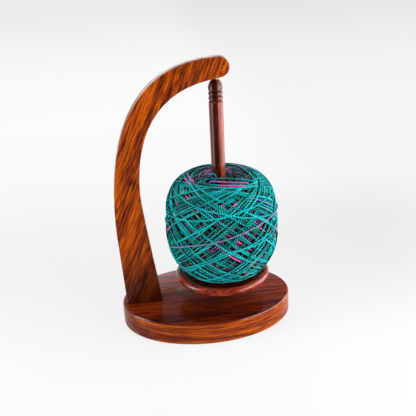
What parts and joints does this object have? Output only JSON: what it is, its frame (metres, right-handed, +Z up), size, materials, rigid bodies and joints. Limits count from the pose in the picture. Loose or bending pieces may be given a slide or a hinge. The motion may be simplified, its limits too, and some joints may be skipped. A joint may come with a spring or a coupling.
{
  "type": "hanging yarn holder",
  "caption": "Wooden yarn holder: a curved arm on an oval base hangs a turned spindle with a dished disc from a magnet, so that the ball of yarn on it turns and swings as it is pulled.",
  "frame": {"origin": "middle of the oval base's underside, on the surface that the holder stands on", "axes": "+Z up, parallel to the spindle; +X from the arm's foot towards its nose, along the base's length; +Y across the base, away from the viewer of the picture"},
  "size_m": [0.2, 0.138, 0.3083],
  "materials": {
    "board_wood": "clear gloss varnish on orange-brown rosewood",
    "turned_wood": "clear gloss varnish on red-brown rosewood",
    "steel": "polished steel",
    "nickel": "bright nickel plate",
    "yarn": "plied wool, teal with green, pink and lavender stretches",
    "yarn_inner": "plied wool, lavender and violet inner layers"
  },
  "bodies": {
    "stand": {"base": "board_wood", "arm": "board_wood", "arm_screws": "steel", "arm_magnet": "nickel"},
    "pivot_ball": {"pivot_ball": "steel"},
    "seat_magnet": {"seat_magnet": "nickel"},
    "spindle": {"spindle": "turned_wood", "disc": "turned_wood", "disc_screw": "steel"},
    "yarn": {"yarn_core": "yarn_inner", "yarn_winding": "yarn"}
  },
  "joints": [
    {"name": "swing_side", "type": "hinge", "parent": "stand", "child": "pivot_ball", "pos_m": [0.0207, 0, 0.28285], "axis": [0, -1, 0], "range_deg": [-5, 15]},
    {"name": "swing_front", "type": "hinge", "parent": "pivot_ball", "child": "seat_magnet", "pos_m": [0.0207, 0, 0.28285], "axis": [1, 0, 0], "range_deg": [-15, 15]},
    {"name": "spindle_spin", "type": "hinge", "parent": "seat_magnet", "child": "spindle", "pos_m": [0.0207, 0, 0.28285], "axis": [0, 0, 1], "continuous": true},
    {"name": "yarn_lift", "type": "slide", "parent": "spindle", "child": "yarn", "axis": [0, 0, 1], "range_m": [0, 0.07]}
  ]
}
